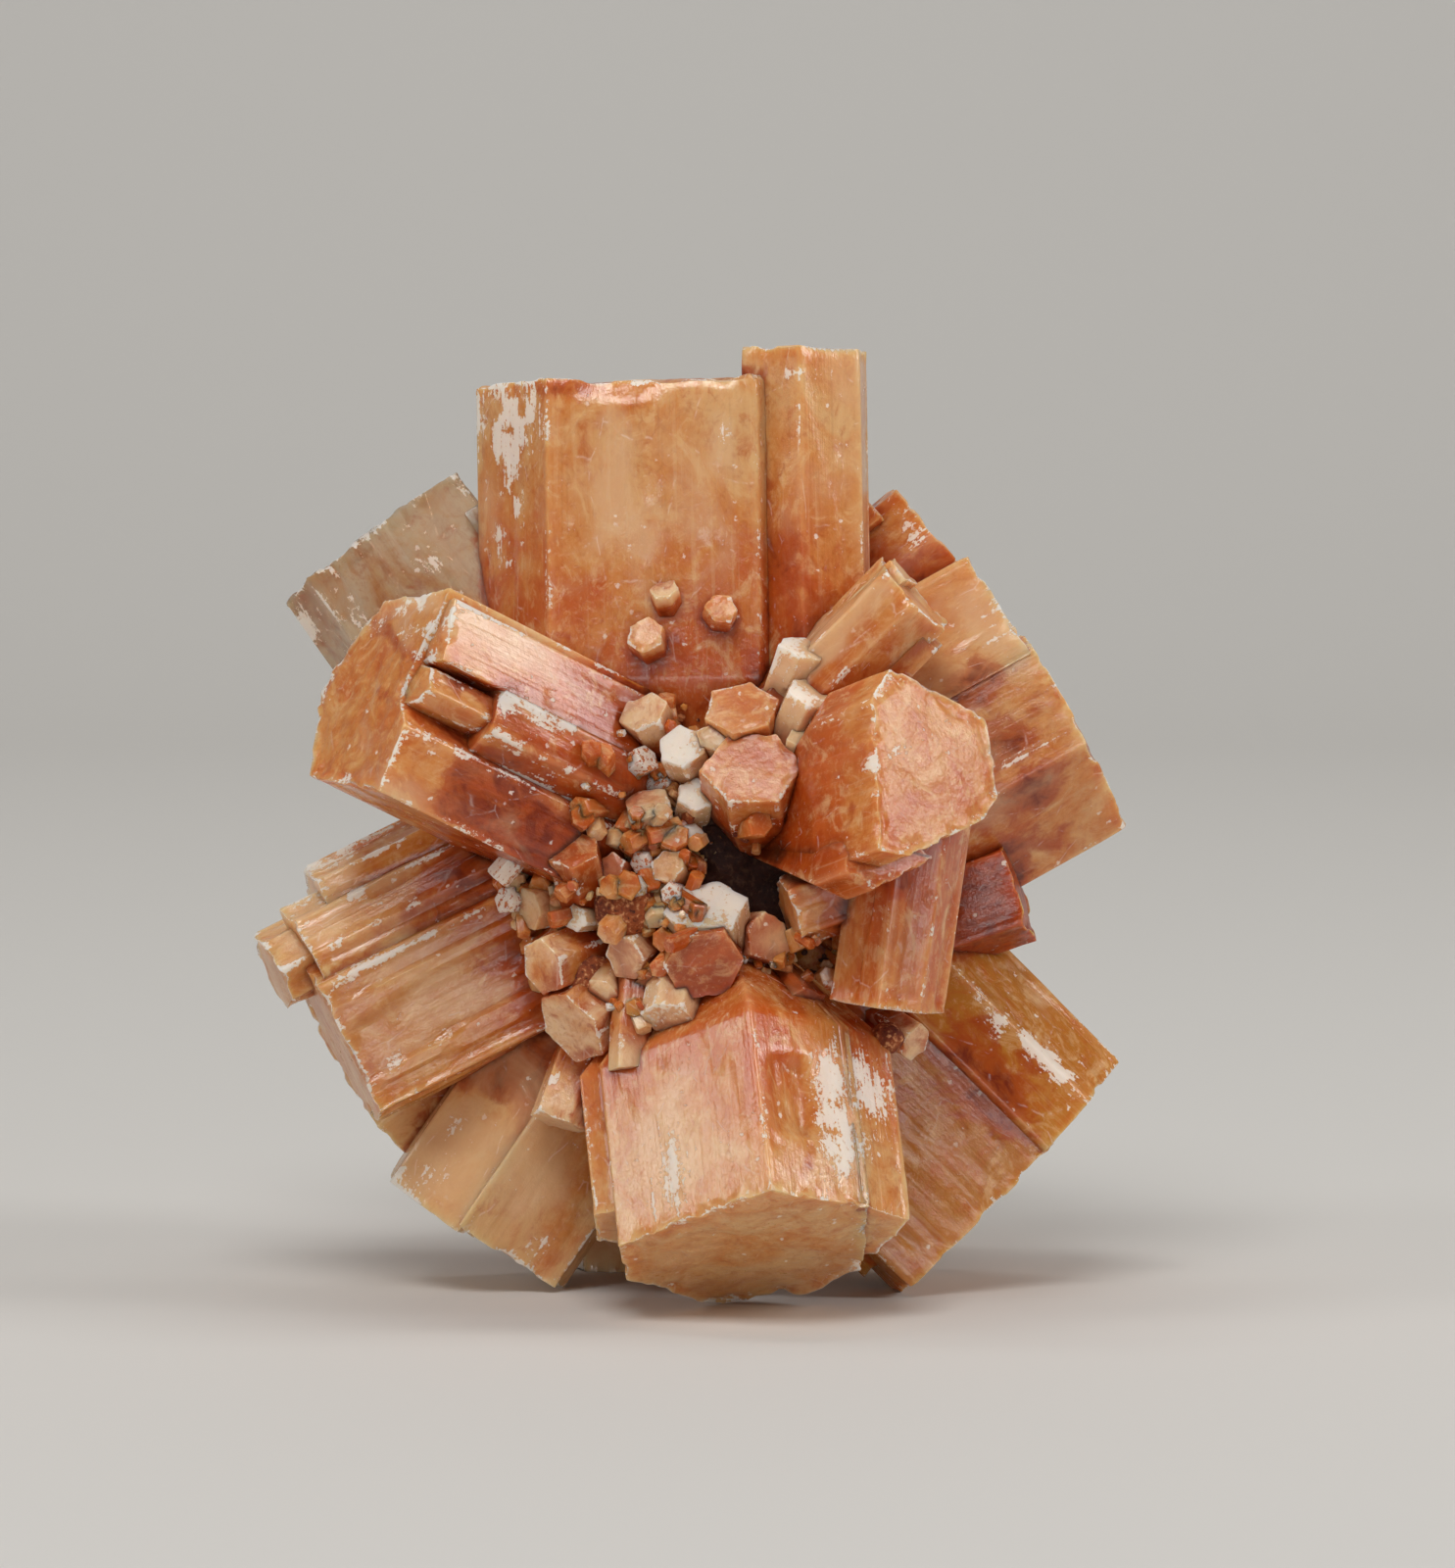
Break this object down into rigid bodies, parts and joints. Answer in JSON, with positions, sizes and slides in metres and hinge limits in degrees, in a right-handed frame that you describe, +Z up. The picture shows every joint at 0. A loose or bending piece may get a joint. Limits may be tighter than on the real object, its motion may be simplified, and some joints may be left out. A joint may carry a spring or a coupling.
{
  "type": "aragonite cluster",
  "caption": "Radiating cluster of orange-brown, flat-ended aragonite crystals grown from one heart, standing on the worn corners of its lowest crystals.",
  "frame": {"origin": "middle of the bounding box at the level that the cluster stands on", "axes": "+Z up as the cluster stands, +X to the right in the front view, -Y towards the viewer"},
  "size_m": [0.0419, 0.0352, 0.045],
  "materials": {
    "orange_aragonite": "glassy to satin crystal faces, translucent orange-brown with pale and deep red clouds, clay in the crevices"
  },
  "bodies": {
    "root": {"aragonite_cluster": "orange_aragonite"}
  },
  "joints": []
}
